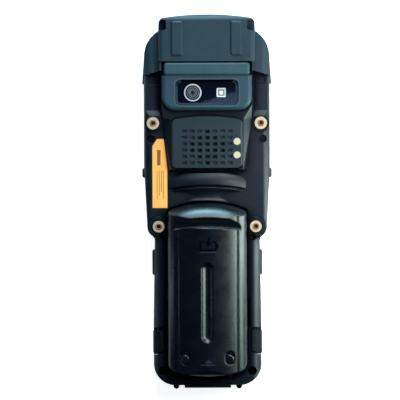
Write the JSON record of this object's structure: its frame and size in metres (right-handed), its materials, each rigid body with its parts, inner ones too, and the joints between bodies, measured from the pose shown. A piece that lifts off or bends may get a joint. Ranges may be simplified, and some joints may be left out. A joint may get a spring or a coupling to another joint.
{
  "type": "handheld barcode data terminal",
  "caption": "Rugged handheld data terminal with keypad, display, reading window, rear camera, speaker grille and a pivoting battery pack with latches.",
  "frame": {"origin": "middle of the front (display) face, on the surface that the terminal lies on", "axes": "+Y along the terminal towards the reading window, +Z from the display face to the back, +X to the right when the back is seen with the reading window up"},
  "size_m": [0.0714, 0.2063, 0.0325],
  "materials": {
    "housing": "fine texture",
    "bumper": "soft-touch matt",
    "trim": "satin",
    "window_glass": "polished",
    "lens_ring": "satin",
    "led": "gloss",
    "black_parts": "matt",
    "gold": "polished",
    "brass_insert": "turned",
    "black_steel": "black oxide",
    "label": "satin film",
    "scan_glass": "polished",
    "display_glass": "polished",
    "status_glass": "gloss",
    "metal_parts": "plain",
    "board": "solder mask",
    "rubber_mat": "matt",
    "battery_shell": "fine texture",
    "cell_wrap": "shrink film",
    "latch": "satin",
    "spring_steel": "plain",
    "rubber_flap": "matt",
    "side_key": "matt",
    "key_orange": "satin",
    "key_dark": "satin",
    "key_red": "satin",
    "key_green": "satin",
    "key_grey": "satin"
  },
  "bodies": {
    "terminal": {"front_housing": "housing", "rear_housing": "housing", "top_bumper": "bumper", "bottom_bumper": "housing", "brow_bar": "bumper", "camera_frame": "trim", "camera_window": "window_glass", "camera_module": "lens_ring", "flash_led": "led", "speaker_cover": "trim", "speaker": "black_parts", "charge_contacts": "gold", "grip_inserts": "brass_insert", "case_screws": "black_steel", "label_plate": "label", "scan_window": "scan_glass", "scan_engine": "black_parts", "display_window": "display_glass", "lcd_module": "metal_parts", "earpiece_mesh": "black_parts", "status_lens": "status_glass", "main_board": "board", "keypad_mat": "rubber_mat", "side_switches": "metal_parts", "usb_socket": "metal_parts", "card_socket": "metal_parts", "dock_connector": "black_parts", "bay_contacts": "gold"},
    "pack": {"battery_cover": "battery_shell", "battery_base": "battery_shell", "battery_cell": "cell_wrap", "battery_pads": "gold", "latch_spring_left": "spring_steel", "latch_spring_right": "spring_steel"},
    "latch_left": {"latch_left": "latch"},
    "latch_right": {"latch_right": "latch"},
    "right_flap": {"right_flap": "rubber_flap"},
    "left_flap": {"left_flap": "rubber_flap"},
    "dock_flap": {"dock_flap": "rubber_flap"},
    "upper_left_button": {"upper_left_button": "side_key"},
    "upper_right_button": {"upper_right_button": "side_key"},
    "lower_left_trigger": {"lower_left_trigger": "side_key"},
    "lower_right_trigger": {"lower_right_trigger": "side_key"},
    "scan_key": {"scan_key": "key_orange"},
    "nav_ring": {"nav_ring": "key_dark"},
    "key_esc": {"key_esc": "key_red"},
    "key_enter": {"key_enter": "key_green"},
    "key_power": {"key_power": "key_red"},
    "key_1": {"key_1": "key_grey"},
    "key_2": {"key_2": "key_grey"},
    "key_3": {"key_3": "key_grey"},
    "key_4": {"key_4": "key_grey"},
    "key_5": {"key_5": "key_grey"},
    "key_6": {"key_6": "key_grey"},
    "key_7": {"key_7": "key_grey"},
    "key_8": {"key_8": "key_grey"},
    "key_9": {"key_9": "key_grey"},
    "key_star": {"key_star": "key_grey"},
    "key_0": {"key_0": "key_grey"},
    "key_hash": {"key_hash": "key_grey"}
  },
  "joints": [
    {"name": "pack_hinge", "type": "hinge", "parent": "terminal", "child": "pack", "pos_m": [0, -0.0083, 0.02], "axis": [-1, 0, 0], "range_deg": [0, 28]},
    {"name": "latch_right_slide", "type": "slide", "parent": "pack", "child": "latch_right", "axis": [0, 1, 0], "range_m": [0, 0.002], "stiffness_N_per_m": 300, "deforming": ["latch_spring_right"]},
    {"name": "latch_left_slide", "type": "slide", "parent": "pack", "child": "latch_left", "axis": [0, 1, 0], "range_m": [0, 0.002], "stiffness_N_per_m": 300, "deforming": ["latch_spring_left"]},
    {"name": "right_flap_hinge", "type": "hinge", "parent": "terminal", "child": "right_flap", "pos_m": [0.0285, -0.07095, 0.014], "axis": [0, 0, 1], "range_deg": [0, 80]},
    {"name": "left_flap_hinge", "type": "hinge", "parent": "terminal", "child": "left_flap", "pos_m": [-0.0285, -0.07095, 0.014], "axis": [0, 0, -1], "range_deg": [0, 80]},
    {"name": "dock_flap_hinge", "type": "hinge", "parent": "terminal", "child": "dock_flap", "pos_m": [0, -0.1008, 0.0054], "axis": [1, 0, 0], "range_deg": [0, 85]},
    {"name": "upper_left_button_press", "type": "slide", "parent": "terminal", "child": "upper_left_button", "axis": [1, 0, 0], "range_m": [0, 0.0008], "stiffness_N_per_m": 400},
    {"name": "upper_right_button_press", "type": "slide", "parent": "terminal", "child": "upper_right_button", "axis": [-1, 0, 0], "range_m": [0, 0.0008], "stiffness_N_per_m": 400},
    {"name": "lower_left_trigger_press", "type": "slide", "parent": "terminal", "child": "lower_left_trigger", "axis": [1, 0, 0], "range_m": [0, 0.0008], "stiffness_N_per_m": 400},
    {"name": "lower_right_trigger_press", "type": "slide", "parent": "terminal", "child": "lower_right_trigger", "axis": [-1, 0, 0], "range_m": [0, 0.0008], "stiffness_N_per_m": 400},
    {"name": "scan_key_press", "type": "slide", "parent": "terminal", "child": "scan_key", "axis": [0, 0, 1], "range_m": [0, 0.0005], "stiffness_N_per_m": 500},
    {"name": "nav_ring_press", "type": "slide", "parent": "terminal", "child": "nav_ring", "axis": [0, 0, 1], "range_m": [0, 0.0005], "stiffness_N_per_m": 500},
    {"name": "key_esc_press", "type": "slide", "parent": "terminal", "child": "key_esc", "axis": [0, 0, 1], "range_m": [0, 0.0005], "stiffness_N_per_m": 500},
    {"name": "key_enter_press", "type": "slide", "parent": "terminal", "child": "key_enter", "axis": [0, 0, 1], "range_m": [0, 0.0005], "stiffness_N_per_m": 500},
    {"name": "key_power_press", "type": "slide", "parent": "terminal", "child": "key_power", "axis": [0, 0, 1], "range_m": [0, 0.0005], "stiffness_N_per_m": 500},
    {"name": "key_1_press", "type": "slide", "parent": "terminal", "child": "key_1", "axis": [0, 0, 1], "range_m": [0, 0.0005], "stiffness_N_per_m": 500},
    {"name": "key_2_press", "type": "slide", "parent": "terminal", "child": "key_2", "axis": [0, 0, 1], "range_m": [0, 0.0005], "stiffness_N_per_m": 500},
    {"name": "key_3_press", "type": "slide", "parent": "terminal", "child": "key_3", "axis": [0, 0, 1], "range_m": [0, 0.0005], "stiffness_N_per_m": 500},
    {"name": "key_4_press", "type": "slide", "parent": "terminal", "child": "key_4", "axis": [0, 0, 1], "range_m": [0, 0.0005], "stiffness_N_per_m": 500},
    {"name": "key_5_press", "type": "slide", "parent": "terminal", "child": "key_5", "axis": [0, 0, 1], "range_m": [0, 0.0005], "stiffness_N_per_m": 500},
    {"name": "key_6_press", "type": "slide", "parent": "terminal", "child": "key_6", "axis": [0, 0, 1], "range_m": [0, 0.0005], "stiffness_N_per_m": 500},
    {"name": "key_7_press", "type": "slide", "parent": "terminal", "child": "key_7", "axis": [0, 0, 1], "range_m": [0, 0.0005], "stiffness_N_per_m": 500},
    {"name": "key_8_press", "type": "slide", "parent": "terminal", "child": "key_8", "axis": [0, 0, 1], "range_m": [0, 0.0005], "stiffness_N_per_m": 500},
    {"name": "key_9_press", "type": "slide", "parent": "terminal", "child": "key_9", "axis": [0, 0, 1], "range_m": [0, 0.0005], "stiffness_N_per_m": 500},
    {"name": "key_star_press", "type": "slide", "parent": "terminal", "child": "key_star", "axis": [0, 0, 1], "range_m": [0, 0.0005], "stiffness_N_per_m": 500},
    {"name": "key_0_press", "type": "slide", "parent": "terminal", "child": "key_0", "axis": [0, 0, 1], "range_m": [0, 0.0005], "stiffness_N_per_m": 500},
    {"name": "key_hash_press", "type": "slide", "parent": "terminal", "child": "key_hash", "axis": [0, 0, 1], "range_m": [0, 0.0005], "stiffness_N_per_m": 500}
  ]
}
